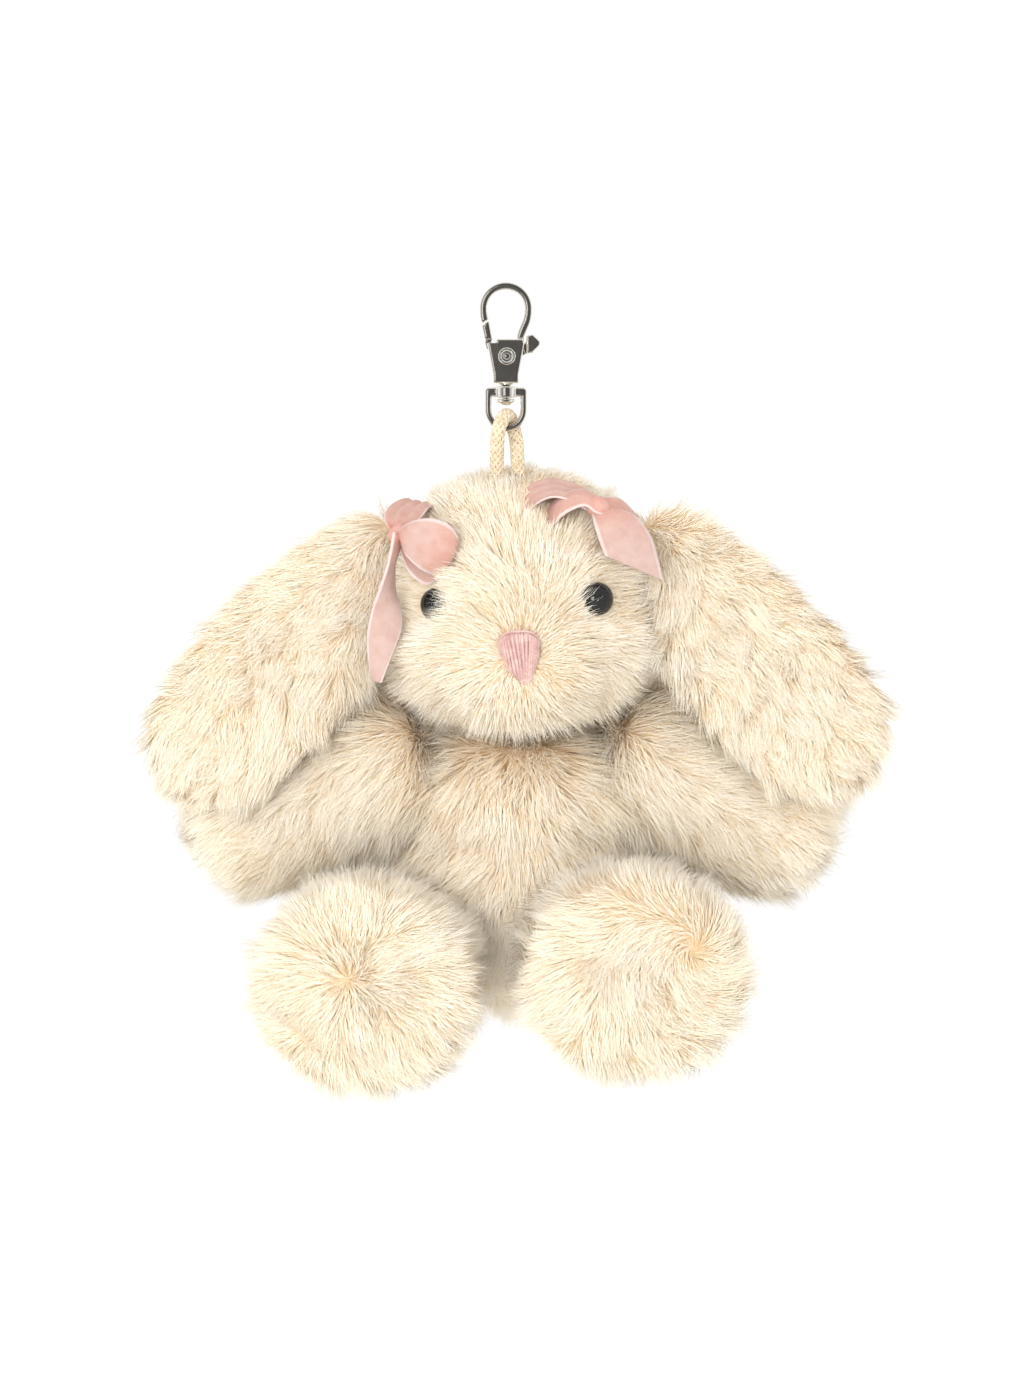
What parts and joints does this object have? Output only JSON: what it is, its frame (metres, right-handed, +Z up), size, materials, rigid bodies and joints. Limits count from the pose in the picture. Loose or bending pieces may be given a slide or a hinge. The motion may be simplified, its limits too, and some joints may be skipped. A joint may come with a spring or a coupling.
{
  "type": "plush keychain",
  "caption": "Long-pile plush rabbit charm with drooping ears and velvet bows, hung by a cord loop from a swivel trigger snap clasp.",
  "frame": {"origin": "the inner top of the hook's bow, where the charm hangs", "axes": "+Z up, the rabbit's face towards -Y, its left ear (seen from the front) towards -X"},
  "size_m": [0.1501, 0.0771, 0.1639],
  "materials": {
    "nickel": "bright nickel plate over die cast metal",
    "fur": "long cream faux fur",
    "filling": "white fibre filling",
    "cord": "braided natural cotton",
    "velvet": "pink velvet ribbon",
    "bead": "polished black",
    "washer": "natural white plastic",
    "thread": "pink embroidery thread"
  },
  "bodies": {
    "clasp": {"hook_body": "nickel", "trigger_rivet": "nickel", "trigger_spring": "nickel", "stud_head": "nickel"},
    "trigger": {"trigger_lever": "nickel"},
    "ring": {"swivel_ring": "nickel"},
    "head": {"cord_loop": "cord", "cord_knot": "cord", "head_skin": "fur", "head_filling": "filling", "left_eye": "bead", "left_eye_washer": "washer", "right_eye": "bead", "right_eye_washer": "washer", "nose_stitching": "thread", "left_bow_band": "velvet", "left_bow_knot": "velvet", "left_bow_loop": "velvet", "left_bow_tail": "velvet", "right_bow_band": "velvet", "right_bow_knot": "velvet", "right_bow_loop": "velvet", "right_bow_tail": "velvet"},
    "ear_left": {"left_ear": "fur"},
    "ear_right": {"right_ear": "fur"},
    "torso": {"torso_skin": "fur", "torso_filling": "filling", "tail": "fur"},
    "arm_left": {"left_arm": "fur"},
    "arm_right": {"right_arm": "fur"},
    "leg_left": {"left_leg": "fur"},
    "leg_right": {"right_leg": "fur"}
  },
  "joints": [
    {"name": "trigger_open", "type": "hinge", "parent": "clasp", "child": "trigger", "pos_m": [0.0002, 0, -0.0138], "axis": [0, 1, 0], "range_deg": [0, 24], "stiffness_Nm_per_rad": 0.004, "springref_deg": -20.05, "deforming": ["trigger_spring"]},
    {"name": "ring_swivel", "type": "hinge", "parent": "clasp", "child": "ring", "pos_m": [0, 0, -0.0215], "axis": [0, 0, 1], "continuous": true},
    {"name": "loop_swing", "type": "hinge", "parent": "ring", "child": "head", "pos_m": [0, 0, -0.0288], "axis": [1, 0, 0], "range_deg": [-45, 45]},
    {"name": "neck_nod", "type": "hinge", "parent": "head", "child": "torso", "pos_m": [0.0026, 0.009, -0.0904], "axis": [1, 0, 0], "range_deg": [-8, 8], "stiffness_Nm_per_rad": 0.12, "springref_deg": -2.18},
    {"name": "left_ear_lift", "type": "hinge", "parent": "head", "child": "ear_left", "pos_m": [-0.0224, 0, -0.0512], "axis": [0, 1, 0], "range_deg": [0, 35]},
    {"name": "right_ear_lift", "type": "hinge", "parent": "head", "child": "ear_right", "pos_m": [0.0276, 0, -0.0512], "axis": [0, -1, 0], "range_deg": [0, 35]},
    {"name": "left_arm_raise", "type": "hinge", "parent": "torso", "child": "arm_left", "pos_m": [-0.0164, 0, -0.099], "axis": [0, 1, 0], "range_deg": [-10, 15], "stiffness_Nm_per_rad": 0.02, "springref_deg": 5.16},
    {"name": "right_arm_raise", "type": "hinge", "parent": "torso", "child": "arm_right", "pos_m": [0.0216, 0, -0.099], "axis": [0, -1, 0], "range_deg": [-10, 15], "stiffness_Nm_per_rad": 0.02, "springref_deg": 5.16},
    {"name": "left_leg_raise", "type": "hinge", "parent": "torso", "child": "leg_left", "pos_m": [-0.0288, 0.003, -0.139], "axis": [-1, 0, 0], "range_deg": [-15, 20], "stiffness_Nm_per_rad": 0.04, "springref_deg": 3.15},
    {"name": "right_leg_raise", "type": "hinge", "parent": "torso", "child": "leg_right", "pos_m": [0.0272, 0.003, -0.139], "axis": [-1, 0, 0], "range_deg": [-15, 20], "stiffness_Nm_per_rad": 0.04, "springref_deg": 3.15}
  ]
}
